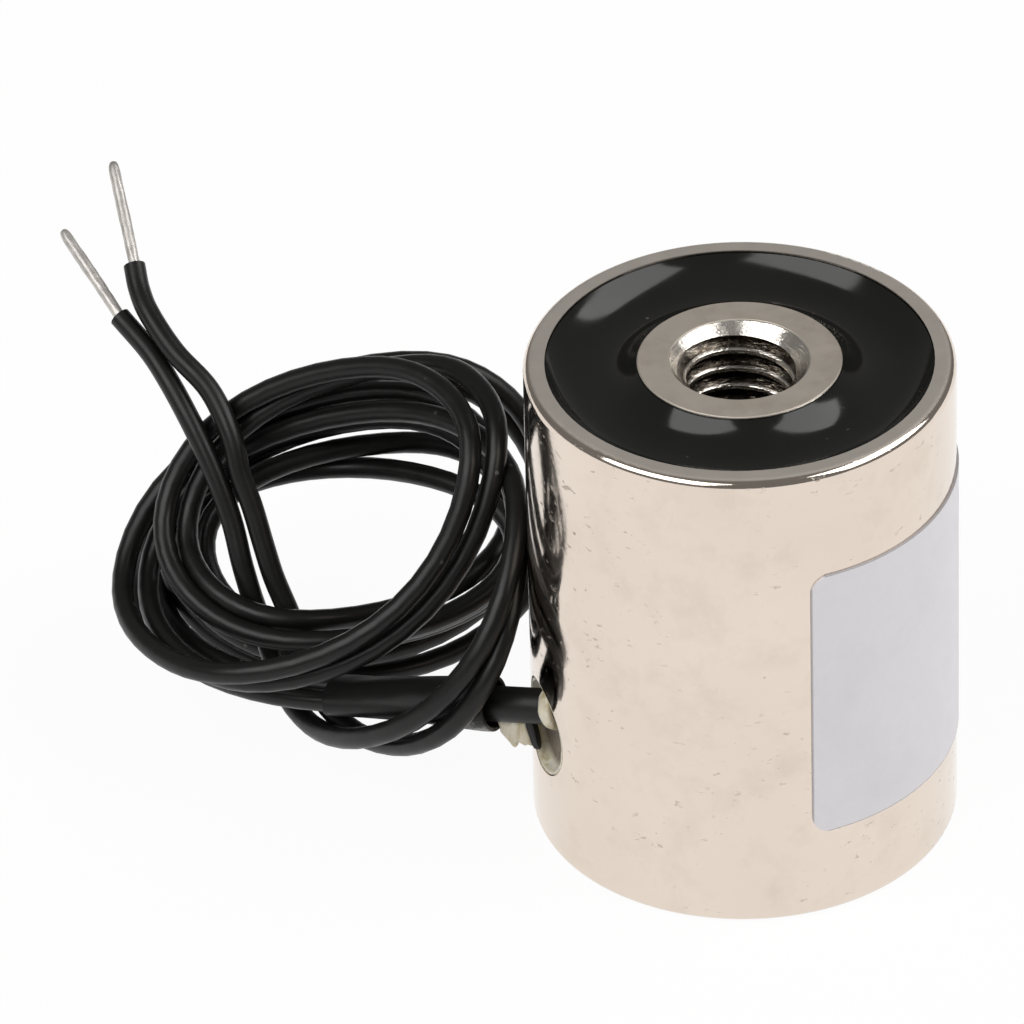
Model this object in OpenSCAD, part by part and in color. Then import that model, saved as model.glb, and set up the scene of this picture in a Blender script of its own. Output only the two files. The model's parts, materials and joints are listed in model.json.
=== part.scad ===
// Round holding electromagnet with a tapped core and a pair of flying leads.
// The back face stands on z = 0, the pole face is at the top and the leads leave towards -X.

/* [Shell] */
// Outer diameter of the steel cup
shell_d = 20; // [18:0.5:26]
// Height of the cup, from its back to the pole face
shell_h = 25; // [20:0.5:35]
// Thickness of the cup's side wall
shell_wall = 1; // [0.8:0.1:1.4]
// Thickness of the cup's base
base_t = 3; // [2:0.1:3.1]
// Rounding of the cup's outer edges
edge_r = 0.45; // [0.1:0.05:0.6]
// Diameter of the lead hole in the side wall
exit_d = 4.8; // [4.4:0.1:5.8]
// Height of the lead hole's centre above the back
exit_z = 6.5; // [6:0.1:9]

/* [Core] */
// Diameter of the pole
core_d = 9.5; // [9:0.1:10.5]
// Diameter of the spigot pressed into the cup's base
spigot_d = 8; // [7.2:0.1:8.5]
// Bore of the tapped hole, at the crests of an M6 thread
tap_d = 5; // [4.8:0.05:5.2]
// Diameter of the countersink at each end of the thread
csk_d = 6.6; // [6:0.1:7]
// Chamfer round the pole's top edge
pole_edge = 0.1; // [0.05:0.05:0.4]

/* [Coil former and winding] */
// Wall of the former's tube
former_wall = 0.6; // [0.4:0.05:0.9]
// Thickness of the former's two flanges
flange_t = 0.8; // [0.5:0.1:1.2]
// Thickness of the tape round the winding
tape_t = 0.15; // [0.05:0.05:0.3]
// Room for the wire ends between the tape and the cup
wire_room = 1; // [0.9:0.05:1.6]

/* [Potting] */
// Depth of the resin over the former, at the walls
pot_depth = 3; // [2:0.1:5]
// Drop from the pole face to the resin's edge at the walls
pot_edge = 0.2; // [0.05:0.05:0.5]
// Sag of the resin between the two walls
pot_sag = 1.1; // [0.1:0.05:1.5]

/* [Label] */
// Length of the label round the cup
label_w = 31.5; // [20:0.5:40]
// Height of the label
label_h = 14.5; // [8:0.5:16]
// Height of the label's lower edge above the back
label_z = 4.8; // [2:0.1:5]
// Corner radius of the label
label_r = 0.9; // [0.2:0.1:2]
// Thickness of the label
label_t = 0.1; // [0.05:0.05:0.2]

/* [Leads] */
// Diameter of each insulated lead
lead_d = 1.05; // [0.9:0.05:1.1]
// Diameter of the tinned strands
strand_d = 0.5; // [0.3:0.05:0.6]
// Length of the tinned strands beyond the cut insulation
strand_len = 5.5; // [3:0.5:8]
// Outer diameter of the tube in the lead hole
tube_d = 1.7; // [1.5:0.05:1.8]
// Wall of the tube in the lead hole
tube_wall = 0.25; // [0.15:0.05:0.3]
// Outer diameter of the shrunk sleeve over the joints
sleeve_d = 2.7; // [2.6:0.05:3]
// Wall of the shrunk sleeve
sleeve_wall = 0.2; // [0.1:0.05:0.2]
// Length of the shrunk sleeve
sleeve_len = 9; // [8:0.5:9.5]
// Diameter of the winding's two wire ends
wire_d = 0.3; // [0.15:0.05:0.35]
// Diameter of each soldered joint
joint_d = 0.8; // [0.6:0.05:0.9]
// Length of each soldered joint
joint_len = 3; // [2:0.1:3.5]

/* [Clearances] */
// Gap between round pieces that sit in each other
fit_gap = 0.05; // [0.02:0.01:0.1]
// Gap between the spigot and the hole it is pressed into
press_gap = 0.01; // [0:0.01:0.03]
// Gap between the coiled leads and what they lie against
coil_gap = 0.1; // [0.05:0.05:0.3]

/* [Hidden] */
$fn = 64;

shell_r = shell_d / 2;
bore_r = shell_r - shell_wall;
core_r = core_d / 2;
csk_depth = (csk_d - tap_d) / 2;
pot_base = shell_h - pot_edge - pot_depth;
former_r = core_r + fit_gap + former_wall;
flange_r = bore_r - 4 * fit_gap;
tape_r = bore_r - wire_room;
winding_r = tape_r - tape_t;
winding_z = base_t + flange_t + fit_gap;
winding_h = pot_base - base_t - 2 * (flange_t + fit_gap);

// Steps in the curve of the resin's surface
pot_steps = 20;
// How sharply the resin climbs the walls
pot_climb = 3;

// Angle that the label covers round the cup, centred on +X
label_turn = label_w / shell_r * 180 / PI;
label_top = label_z + label_h;
// Steps in the rounding of the label's corners
label_steps = 8;

// Centre of the tube where it leaves the wall, above and beside the hole's centre
tube_up = 0.9;
tube_side = 0.4;
// How far the leads swing from -X towards +Y, and how far they droop
exit_swing = 43;
exit_droop = 13;

// Places along the leads' straight stretch, measured outwards from the wall
wire_start = -2.2;
tube_start = -1.2;
sleeve_start = 2;
tube_end = sleeve_start + 0.8;
joint_start = sleeve_start + 1.6;
run_start = joint_start + joint_len;
sleeve_end = sleeve_start + sleeve_len;
run_end = sleeve_end + coil_gap;
// Distance of each lead and of each wire end from the sleeve's axis
lead_off = lead_d / 2 + fit_gap / 2;
wire_off = wire_d / 2 + fit_gap;

// Glue in the lead hole: reach into the cup, and depth below the cup's surface
seal_in = 0.5;
seal_sunk = 0.8;
// Thickness of the glue round the tube inside the hole, and where it stops short of the wall's surface
seal_collar = 0.35;
collar_end = -0.3;
// Thickness of the torn string of glue that hangs out under the tube
seal_string = 0.5;
// Outline of that string, outwards from the wall and down from the tube's axis
seal_outline = [
    [0.2, -0.7], [2, -0.7], [2.1, -1.5], [1.7, -1.9], [1.5, -2.5], [1.1, -2.2],
    [0.6, -2.2], [0.2, -2.6], [-1.3, -2.9], [-1.3, -2.5], [0.1, -2.2]
];

// Coiled leads as one ring: its centre from the wall, its size, and the way that it faces
coil_at = [-6.5, 13.5, 8.5];
coil_r = 7.2;
coil_thick = 5;
coil_face = 220;
coil_lean = 55;

// Free ends of the leads, from the coil to the cut insulation, measured from the wall
tail_1 = [
    [-9.5, 12.5, 5.5], [-10, 13.6, 7.2], [-10.2, 14.4, 8.7], [-10.3, 15.4, 10.3], [-10.6, 16.5, 12],
    [-11, 17.7, 13.5], [-11.4, 18.9, 14.7], [-11.8, 20.3, 15.7], [-12.2, 21.8, 16.5], [-12.8, 22.7, 16.9],
    [-13.1, 23.8, 17.4]
];
tail_2 = [
    [-8, 11.5, 5], [-8.5, 12.6, 6.6], [-8.9, 13.5, 8.1], [-9.1, 14.3, 9.4], [-9.3, 15.3, 11], [-9.6, 16.2, 12.5],
    [-9.7, 17.2, 14.1], [-10.2, 18.9, 15.7], [-11.3, 20.8, 16.9], [-11.9, 22.8, 17.9], [-12, 24.1, 18.5],
    [-11.9, 25.2, 19.2]
];
// Sides of the tube that stands for a lead
tail_sides = 8;

function unit(v) = v / norm(v);
function last(list) = list[len(list) - 1];

// Direction of a route at its point i
function route_dir(p, i) = unit(p[min(i + 1, len(p) - 1)] - p[max(i - 1, 0)]);

// Corner k of the ring round a route's point i
function ring_point(p, i, k, r) =
    let (
        along = route_dir(p, i),
        side = unit(cross(along, [1, 0, 0])),
        up = cross(along, side),
        a = 360 * k / tail_sides
    )
    p[i] + r * (cos(a) * side + sin(a) * up);

// Height of the resin at a share s of the way from the core to the cup
function resin_z(s) = shell_h - pot_edge - pot_sag * (1 - pow(abs(2 * s - 1), pot_climb));

// Solid tube along a route
module route_tube(p, d) {
    n = tail_sides;
    rings = len(p);
    points = [for (i = [0:rings - 1]) for (k = [0:n - 1]) ring_point(p, i, k, d / 2)];
    walls = [
        for (i = [0:rings - 2]) for (k = [0:n - 1])
            [i * n + k, i * n + (k + 1) % n, (i + 1) * n + (k + 1) % n, (i + 1) * n + k]
    ];
    start_cap = [[for (k = [n - 1:-1:0]) k]];
    end_cap = [[for (k = [0:n - 1]) (rings - 1) * n + k]];
    polyhedron(points, concat(start_cap, walls, end_cap));
}

// Straight rod that carries a route on from its last point
module rod_from(p, h, d) {
    along = route_dir(p, len(p) - 1);
    translate(last(p))
        rotate([0, acos(along[2]), atan2(along[1], along[0])])
            cylinder(h = h, d = d);
}

// Upright pipe between two radii
module pipe(r_in, r_out, h) {
    rotate_extrude()
        translate([r_in, 0])
            square([r_out - r_in, h]);
}

// Places its children where the lead hole meets the cup's surface, at floor level
module at_wall() {
    translate([-shell_r, 0, 0])
        children();
}

// Turns +Z to the direction of the leads, with its origin on the tube's axis at the wall
module along_leads() {
    at_wall()
        translate([0, tube_side, exit_z + tube_up])
            rotate([0, 0, 180 - exit_swing])
                rotate([0, 90 + exit_droop, 0])
                    children();
}

// Straight round piece on the leads' line, between two places along it
module on_leads(from, to, d, off = 0) {
    along_leads()
        translate([0, off, from])
            cylinder(h = to - from, d = d);
}

// Half outline of the cup, with both outer edges rounded
module cup_outline() {
    square([shell_r - edge_r, shell_h]);
    translate([0, edge_r])
        square([shell_r, shell_h - 2 * edge_r]);
    for (z = [edge_r, shell_h - edge_r])
        translate([shell_r - edge_r, z])
            circle(r = edge_r);
}

module lead_hole(d, reach) {
    translate([0, 0, exit_z])
        rotate([0, -90, 0])
            cylinder(h = reach, d = d);
}

module shell() {
    color([0.82, 0.79, 0.74])
        difference() {
            rotate_extrude()
                cup_outline();
            translate([0, 0, base_t])
                cylinder(h = shell_h, r = bore_r);
            translate([0, 0, -1])
                cylinder(h = base_t + 2, d = spigot_d + 2 * press_gap);
            lead_hole(exit_d, shell_r + 1);
        }
}

module core() {
    color([0.62, 0.59, 0.55])
        rotate_extrude()
            polygon([
                [csk_d / 2, 0], [spigot_d / 2, 0], [spigot_d / 2, base_t], [core_r, base_t],
                [core_r, shell_h - pole_edge], [core_r - pole_edge, shell_h], [csk_d / 2, shell_h],
                [tap_d / 2, shell_h - csk_depth], [tap_d / 2, csk_depth]
            ]);
}

module former() {
    flange_top = pot_base - flange_t;
    color([0.9, 0.88, 0.82])
        rotate_extrude()
            polygon([
                [core_r + fit_gap, base_t], [flange_r, base_t], [flange_r, base_t + flange_t],
                [former_r, base_t + flange_t], [former_r, flange_top], [flange_r, flange_top],
                [flange_r, pot_base], [core_r + fit_gap, pot_base]
            ]);
}

module winding() {
    color([0.72, 0.4, 0.2])
        translate([0, 0, winding_z])
            pipe(former_r + fit_gap, winding_r, winding_h);
}

module winding_tape() {
    color([0.85, 0.7, 0.25])
        translate([0, 0, winding_z])
            pipe(winding_r + fit_gap, tape_r, winding_h);
}

module potting() {
    r_in = core_r + fit_gap;
    width = bore_r - fit_gap - r_in;
    surface = [for (i = [0:pot_steps]) let (s = i / pot_steps) [r_in + s * width, resin_z(s)]];
    color([0.05, 0.05, 0.05])
        rotate_extrude()
            polygon(concat([[r_in + width, pot_base], [r_in, pot_base]], surface));
}

// What is trimmed off the end of the label's strip, which leaves its corners rounded.
// The rounding starts one step in, so that the cut crosses the strip's edge instead of touching it.
module label_trim() {
    far = 3 * label_r;
    corner = [for (i = [1:label_steps]) let (a = 90 * i / label_steps) label_r * [sin(a), cos(a)]];
    near_x = corner[0][0];
    upper = [for (p = corner) [p[0], label_top - label_r + p[1]]];
    lower = [for (i = [label_steps - 1:-1:0]) [corner[i][0], label_z + label_r - corner[i][1]]];
    beyond = [[near_x, label_z - far], [far, label_z - far], [far, label_top + far], [near_x, label_top + far]];
    polygon(concat(beyond, upper, lower));
}

module label() {
    corner_turn = label_r / shell_r * 180 / PI;
    strip_turn = label_turn + corner_turn;
    color([0.86, 0.85, 0.88])
        difference() {
            rotate([0, 0, -strip_turn / 2])
                rotate_extrude(angle = strip_turn)
                    translate([shell_r, label_z])
                        square([label_t, label_h]);
            for (side = [0, 1])
                mirror([0, side, 0])
                    rotate([0, 0, label_turn / 2 - corner_turn])
                        rotate([90, 0, 90])
                            linear_extrude(shell_d)
                                label_trim();
        }
}

module exit_seal() {
    color([0.88, 0.86, 0.78])
        difference() {
            union() {
                intersection() {
                    lead_hole(exit_d - 2 * fit_gap, shell_r);
                    union() {
                        pipe(bore_r - seal_in, shell_r - seal_sunk, shell_h);
                        on_leads(tube_start, collar_end, tube_d + 2 * seal_collar);
                    }
                }
                along_leads()
                    translate([0, seal_string / 2, 0])
                        rotate([90, -90, 0])
                            mirror([0, 1, 0])
                                linear_extrude(seal_string)
                                    polygon([for (q = seal_outline) [q[0], -q[1]]]);
            }
            on_leads(tube_start - 2, sleeve_start, tube_d + 2 * fit_gap);
            on_leads(sleeve_start - fit_gap, sleeve_end, sleeve_d + 2 * fit_gap);
            cylinder(h = winding_z, r = flange_r + fit_gap);
        }
}

module winding_ends() {
    color([0.72, 0.4, 0.2])
        for (side = [-1, 1])
            on_leads(wire_start, joint_start, wire_d, side * wire_off);
}

module inlet_tube() {
    color([0.06, 0.06, 0.06])
        difference() {
            on_leads(tube_start, tube_end, tube_d);
            on_leads(tube_start - 1, tube_end + 1, tube_d - 2 * tube_wall);
        }
}

module solder_joints() {
    color([0.75, 0.75, 0.74])
        for (side = [-1, 1])
            on_leads(joint_start, run_start, joint_d, side * lead_off);
}

module lead_sleeve() {
    color([0.07, 0.07, 0.07])
        difference() {
            on_leads(sleeve_start, sleeve_end, sleeve_d);
            on_leads(sleeve_start - 1, sleeve_end + 1, sleeve_d - 2 * sleeve_wall);
        }
}

module lead_1_run() {
    color([0.05, 0.05, 0.05])
        on_leads(run_start, run_end, lead_d, lead_off);
}

module lead_2_run() {
    color([0.05, 0.05, 0.05])
        on_leads(run_start, run_end, lead_d, -lead_off);
}

module lead_coil() {
    color([0.05, 0.05, 0.05])
        difference() {
            at_wall()
                translate(coil_at)
                    rotate([0, coil_lean, coil_face])
                        rotate_extrude()
                            translate([coil_r, 0])
                                circle(d = coil_thick);
            on_leads(0, run_end, sleeve_d + 2 * coil_gap);
        }
}

module lead_1_tail() {
    color([0.05, 0.05, 0.05])
        at_wall()
            route_tube(tail_1, lead_d);
}

module lead_2_tail() {
    color([0.05, 0.05, 0.05])
        at_wall()
            route_tube(tail_2, lead_d);
}

module tinned_end_1() {
    color([0.78, 0.78, 0.76])
        at_wall()
            rod_from(tail_1, strand_len, strand_d);
}

module tinned_end_2() {
    color([0.78, 0.78, 0.76])
        at_wall()
            rod_from(tail_2, strand_len, strand_d);
}

shell();
core();
former();
winding();
winding_tape();
potting();
label();
exit_seal();
winding_ends();
inlet_tube();
solder_joints();
lead_sleeve();
lead_1_run();
lead_2_run();
lead_coil();
lead_1_tail();
lead_2_tail();
tinned_end_1();
tinned_end_2();
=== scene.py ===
"""Looks of a round holding electromagnet with a tapped core and a pair of coiled flying leads."""

import json
import logging
import math
from dataclasses import dataclass
from enum import Enum
from typing import Callable, List, Optional, Sequence, Tuple

import bpy
from mathutils import Matrix, Vector


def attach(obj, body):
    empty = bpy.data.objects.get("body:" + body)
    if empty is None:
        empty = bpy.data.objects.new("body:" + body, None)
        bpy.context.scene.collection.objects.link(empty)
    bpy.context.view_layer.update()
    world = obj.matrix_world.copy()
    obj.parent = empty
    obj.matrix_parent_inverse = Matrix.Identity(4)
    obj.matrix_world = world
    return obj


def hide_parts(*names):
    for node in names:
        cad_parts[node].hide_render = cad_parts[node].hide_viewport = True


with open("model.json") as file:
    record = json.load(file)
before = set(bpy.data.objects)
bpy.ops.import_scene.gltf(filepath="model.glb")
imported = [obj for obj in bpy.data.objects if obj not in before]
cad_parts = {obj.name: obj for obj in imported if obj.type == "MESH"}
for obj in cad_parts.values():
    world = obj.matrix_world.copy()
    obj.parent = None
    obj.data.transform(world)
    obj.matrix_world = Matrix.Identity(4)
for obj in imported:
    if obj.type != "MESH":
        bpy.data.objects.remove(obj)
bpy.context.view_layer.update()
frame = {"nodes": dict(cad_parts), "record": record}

MM = 0.001
SHARP = math.radians(60)
CREASE = math.radians(32)
LOG = logging.getLogger("holding_magnet")
Colour = Tuple[float, float, float]
Profile = Sequence[Tuple[float, float]]
Link = bpy.types.NodeSocket


class Shading(Enum):
    """How the faces of a modelled piece are shaded."""

    SMOOTH = "smooth"
    BY_ANGLE = "by angle"


@dataclass(frozen=True)
class Viewpoint:
    """The photo's camera: where it looks and from which side."""

    target: Tuple[float, float, float] = (-10.17, 3.206, 16.66)
    azimuth: float = -17.0
    elevation: float = 35.13
    roll: float = -1.505
    distance: float = 550.0
    lens: float = 416.1
    sensor: float = 36.0
    clip: Tuple[float, float] = (0.05, 20.0)

    def axes(self) -> Tuple[Vector, Vector, Vector]:
        """Gives the directions to the right of, up in and out of the picture.

        Returns:
            Three unit vectors in the part's frame.
        """
        a, e, r = (math.radians(v) for v in (self.azimuth, self.elevation, self.roll))
        level = Vector((math.cos(a), math.sin(a), 0))
        back = Vector((math.sin(a) * math.cos(e), -math.cos(a) * math.cos(e), math.sin(e)))
        up = back.cross(level)
        right = math.cos(r) * level + math.sin(r) * up
        return right, back.cross(right), back

    def make_camera(self) -> bpy.types.Object:
        """Creates the camera and makes it the scene's own.

        Returns:
            The camera object.
        """
        right, up, back = self.axes()
        data = bpy.data.cameras.new("camera")
        data.lens = self.lens
        data.sensor_width = self.sensor
        data.clip_start, data.clip_end = self.clip
        camera = bpy.data.objects.new("camera", data)
        bpy.context.scene.collection.objects.link(camera)
        turn = Matrix((right, up, back)).transposed().to_4x4()
        place = (Vector(self.target) + back * self.distance) * MM
        camera.matrix_world = Matrix.Translation(place) @ turn
        bpy.context.scene.camera = camera
        return camera


class Nodes:
    """Builds the node tree of one material."""

    def __init__(self, name: str) -> None:
        self.material = bpy.data.materials.new(name)
        self.material.use_nodes = True
        self.tree = self.material.node_tree
        self.shader = self.tree.nodes["Principled BSDF"]
        self.place = self.tree.nodes.new("ShaderNodeTexCoord").outputs["Object"]

    def set(self, **values: object) -> None:
        """Sets constant inputs of the shader, with spaces written as underscores.

        Args:
            values: Input names and their values.
        """
        for name, value in values.items():
            self.shader.inputs[name.replace("_", " ")].default_value = value

    def feed(self, name: str, source: Link) -> None:
        """Links a value to one of the shader's inputs.

        Args:
            name: The input's name.
            source: The socket that drives it.
        """
        self.tree.links.new(source, self.shader.inputs[name])

    def add(self, kind: str, links: dict, **settings: object) -> bpy.types.Node:
        """Adds one node.

        Args:
            kind: The node's type name.
            links: Input name or number to a socket or a constant.
            settings: Properties of the node.

        Returns:
            The new node.
        """
        node = self.tree.nodes.new(kind)
        for name, value in settings.items():
            setattr(node, name, value)
        for name, value in links.items():
            if isinstance(value, bpy.types.NodeSocket):
                self.tree.links.new(value, node.inputs[name])
            else:
                node.inputs[name].default_value = value
        return node

    def math(self, operation: str, a: object, b: object = 0.0) -> Link:
        """Combines two numbers.

        Args:
            operation: The Math node's operation.
            a: First socket or constant.
            b: Second socket or constant.

        Returns:
            The result.
        """
        return self.add("ShaderNodeMath", {0: a, 1: b}, operation=operation).outputs[0]

    def stretch(self, scale: Tuple[float, float, float]) -> Link:
        """Gives the object coordinates scaled along each axis.

        Args:
            scale: Factor for each axis.

        Returns:
            The scaled coordinates.
        """
        return self.add("ShaderNodeMapping", {"Vector": self.place, "Scale": scale}).outputs[0]

    def noise(self, per_metre: float, detail: float = 3.0, rough: float = 0.5,
              where: Optional[Link] = None) -> Link:
        """Gives soft noise from 0 to 1.

        Args:
            per_metre: Number of lumps in a metre.
            detail: Octaves of finer noise.
            rough: How strong the finer octaves are.
            where: Coordinates, if not the object's own.

        Returns:
            The noise value.
        """
        return self.add("ShaderNodeTexNoise", {
            "Vector": where or self.place, "Scale": per_metre, "Detail": detail, "Roughness": rough,
        }).outputs["Fac"]

    def specks(self, per_metre: float, size: float) -> Link:
        """Gives small round specks: 1 inside a speck and 0 between them.

        Args:
            per_metre: Number of cells in a metre.
            size: Radius of a speck, as a share of its cell.

        Returns:
            The mask.
        """
        cells = self.add("ShaderNodeTexVoronoi", {"Vector": self.place, "Scale": per_metre})
        return self.span(cells.outputs["Distance"], size, size * 0.6)

    def near(self, spot: Tuple[float, float, float], inner: float, outer: float) -> Link:
        """Gives a soft ball: 1 within its inner radius and 0 beyond its outer one.

        Args:
            spot: The ball's centre, in mm.
            inner: Inner radius, in mm.
            outer: Outer radius, in mm.

        Returns:
            The mask.
        """
        away = self.add("ShaderNodeVectorMath", {0: self.place, 1: Vector(spot) * MM}, operation="DISTANCE")
        return self.between(away.outputs["Value"], (outer, inner))

    def span(self, value: Link, low: float, high: float, to_low: float = 0.0, to_high: float = 1.0) -> Link:
        """Maps a range of numbers to another, held at both ends.

        Args:
            value: The number to map.
            low: Start of the range.
            high: End of the range.
            to_low: Result at the start.
            to_high: Result at the end.

        Returns:
            The mapped number.
        """
        return self.add("ShaderNodeMapRange", {
            "Value": value, "From Min": low, "From Max": high, "To Min": to_low, "To Max": to_high,
        }).outputs[0]

    def between(self, value: Link, ends: Tuple[float, float]) -> Link:
        """Gives a mask that rises between two measures.

        Args:
            value: A measure, in metres.
            ends: Where the mask is 0 and where it is 1, in mm.

        Returns:
            The mask.
        """
        return self.span(value, ends[0] * MM, ends[1] * MM)

    def mix(self, share: object, a: object, b: object) -> Link:
        """Mixes two colours.

        Args:
            share: Share of the second colour.
            a: First colour or socket.
            b: Second colour or socket.

        Returns:
            The mixed colour.
        """
        node = self.add("ShaderNodeMix", {}, data_type="RGBA")
        for number, value in ((0, share), (6, a), (7, b)):
            if isinstance(value, bpy.types.NodeSocket):
                self.tree.links.new(value, node.inputs[number])
            else:
                node.inputs[number].default_value = (*value, 1.0) if isinstance(value, tuple) else value
        return node.outputs[2]

    def axis(self, name: str) -> Link:
        """Gives one of the object coordinates, in metres.

        Args:
            name: X, Y or Z.

        Returns:
            The coordinate.
        """
        return self.add("ShaderNodeSeparateXYZ", {"Vector": self.place}).outputs[name]

    def radius(self) -> Link:
        """Gives the distance from the part's axis, in metres.

        Returns:
            The length of the flattened object coordinates.
        """
        flat = self.stretch((1, 1, 0))
        return self.add("ShaderNodeVectorMath", {0: flat}, operation="LENGTH").outputs["Value"]

    def bump(self, height: Link, depth_mm: float, strength: float = 1.0, under: Optional[Link] = None) -> Link:
        """Feeds a bump to the shader.

        Args:
            height: Height value from 0 to 1.
            depth_mm: What a height of 1 stands for.
            strength: Share of the bump that shows.
            under: Normal of a coarser bump below.

        Returns:
            The bumped normal.
        """
        links = {"Height": height, "Distance": depth_mm * MM, "Strength": strength}
        if under:
            links["Normal"] = under
        normal = self.add("ShaderNodeBump", links).outputs["Normal"]
        self.feed("Normal", normal)
        return normal


@dataclass(frozen=True)
class Plate:
    """Warm nickel plate on the drawn cup, dull on its ground rim."""

    name: str = "plated_steel"
    colour: Colour = (0.76, 0.66, 0.57)
    pale: Colour = (0.80, 0.70, 0.61)
    dull: Colour = (0.50, 0.46, 0.41)
    stain: Colour = (0.50, 0.42, 0.33)
    pit: Colour = (0.16, 0.12, 0.08)
    dull_pale: Colour = (0.62, 0.57, 0.51)
    rim_z: Tuple[float, float] = (24.93, 24.98)
    fleck_grain: Tuple[float, float, float] = (1300.0, 1300.0, 2600.0)

    def make(self) -> bpy.types.Material:
        """Builds the material.

        Returns:
            The material.
        """
        n = Nodes(self.name)
        rim = n.between(n.axis("Z"), self.rim_z)
        pits = n.math("MULTIPLY", n.specks(900, 0.11), n.span(n.noise(150, 2), 0.56, 0.62))
        dents = n.math("MULTIPLY", n.specks(380, 0.1), n.span(n.noise(200, 2), 0.5, 0.56))
        plain = n.mix(n.span(n.noise(120, 4), 0.3, 0.7), self.colour, self.pale)
        mottled = n.mix(n.span(n.noise(420, 5, 0.6), 0.5, 0.75, 0.0, 0.22), plain, self.stain)
        scratched = n.span(n.noise(1, 4, 0.7, n.stretch(self.fleck_grain)), 0.625, 0.69)
        flecks = n.math("MULTIPLY", scratched, n.span(n.noise(170, 3), 0.43, 0.54))
        marked = n.math("MAXIMUM", n.math("MULTIPLY", pits, 0.45), n.math("MULTIPLY", flecks, 0.4))
        pitted = n.mix(marked, mottled, self.pit)
        ground = n.mix(n.noise(900, 4), self.dull, self.dull_pale)
        n.feed("Base Color", n.mix(rim, pitted, ground))
        satin = n.span(n.noise(1500, 5), 0.3, 0.7, 0.06, 0.12)
        n.feed("Roughness", n.math("MAXIMUM", satin, n.math("MULTIPLY", rim, 0.5)))
        n.feed("Metallic", n.span(rim, 0.0, 1.0, 1.0, 0.7))
        waves = n.bump(n.noise(260, 3), 0.02, 0.35)
        marks = n.math("ADD", pits, n.math("ADD", dents, flecks))
        n.bump(n.math("SUBTRACT", n.noise(2600, 3, 0.6), n.math("MULTIPLY", marks, 2.0)), 0.006, 0.5, waves)
        return n.material


@dataclass(frozen=True)
class TurnedSteel:
    """Dull plated end of the turned core, bright inside the thread, with painted shade in the thread's grooves
    deeper in the hole.
    """

    name: str = "ground_steel"
    colour: Colour = (0.53, 0.47, 0.40)
    stain: Colour = (0.36, 0.30, 0.23)
    bright: Colour = (0.80, 0.75, 0.68)
    pale: Colour = (0.62, 0.56, 0.48)
    # Painted shade: near-black colours for the thread's flanks and roots deeper in the hole.
    groove_shade: Colour = (0.05, 0.04, 0.03)
    groove_shade_pale: Colour = (0.30, 0.26, 0.21)
    end_z: Tuple[float, float] = (24.94, 24.98)
    groove_in: Tuple[float, float] = (2.53, 2.64)
    groove_out: Tuple[float, float] = (3.3, 3.1)
    groove_top: Tuple[float, float] = (24.4, 24.15)
    rings_per_metre: float = 9000.0
    burr_grain: Tuple[float, float, float] = (900.0, 900.0, 5000.0)

    def make(self) -> bpy.types.Material:
        """Builds the material.

        Returns:
            The material.
        """
        n = Nodes(self.name)
        end = n.between(n.axis("Z"), self.end_z)
        rings = n.noise(1, 2, 0.6, n.add("ShaderNodeCombineXYZ", {
            "X": n.math("MULTIPLY", n.radius(), self.rings_per_metre)}).outputs[0])
        dull = n.mix(n.noise(700, 4), self.colour, self.pale)
        dull = n.mix(n.span(n.noise(620, 5, 0.65), 0.5, 0.72, 0.0, 0.35), dull, self.stain)
        reach = n.radius()
        # Painted shade: the thread's flanks and roots below the countersink are painted dark, mottled by noise.
        groove = n.math("MULTIPLY", n.between(reach, self.groove_in), n.between(reach, self.groove_out))
        groove = n.math("MULTIPLY", groove, n.between(n.axis("Z"), self.groove_top))
        shaded_groove = n.mix(n.span(n.noise(2600, 4, 0.7), 0.45, 0.7), self.groove_shade, self.groove_shade_pale)
        n.feed("Base Color", n.mix(end, n.mix(groove, self.bright, shaded_groove), dull))
        n.feed("Roughness", n.math("ADD", n.span(n.noise(800, 4), 0.3, 0.7, 0.14, 0.24),
                                   n.math("MULTIPLY", end, 0.3)))
        n.feed("Metallic", n.span(end, 0.0, 1.0, 1.0, 0.65))
        burrs = n.noise(1, 4, 0.7, n.stretch(self.burr_grain))
        burrs = n.math("MULTIPLY", burrs, n.span(end, 0.0, 1.0, 1.0, 0.1))
        n.bump(rings, 0.006, 0.4, n.bump(burrs, 0.12, 0.5))
        return n.material


@dataclass(frozen=True)
class Resin:
    """Glossy black casting resin with a little dust on it."""

    name: str = "black_resin"
    colour: Colour = (0.008, 0.008, 0.007)
    pale: Colour = (0.013, 0.013, 0.011)
    dust: Colour = (0.22, 0.21, 0.20)

    def make(self) -> bpy.types.Material:
        """Builds the material.

        Returns:
            The material.
        """
        n = Nodes(self.name)
        dust = n.math("MULTIPLY", n.specks(700, 0.09), n.span(n.noise(300, 2), 0.6, 0.66))
        n.feed("Base Color", n.mix(dust, n.mix(n.noise(200, 3), self.colour, self.pale), self.dust))
        n.feed("Roughness", n.math("ADD", n.span(n.noise(500, 4), 0.3, 0.7, 0.08, 0.16),
                                   n.math("MULTIPLY", dust, 0.5)))
        n.set(Specular_IOR_Level=0.32)
        n.bump(n.noise(160, 2), 0.05, 0.3)
        return n.material


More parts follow.
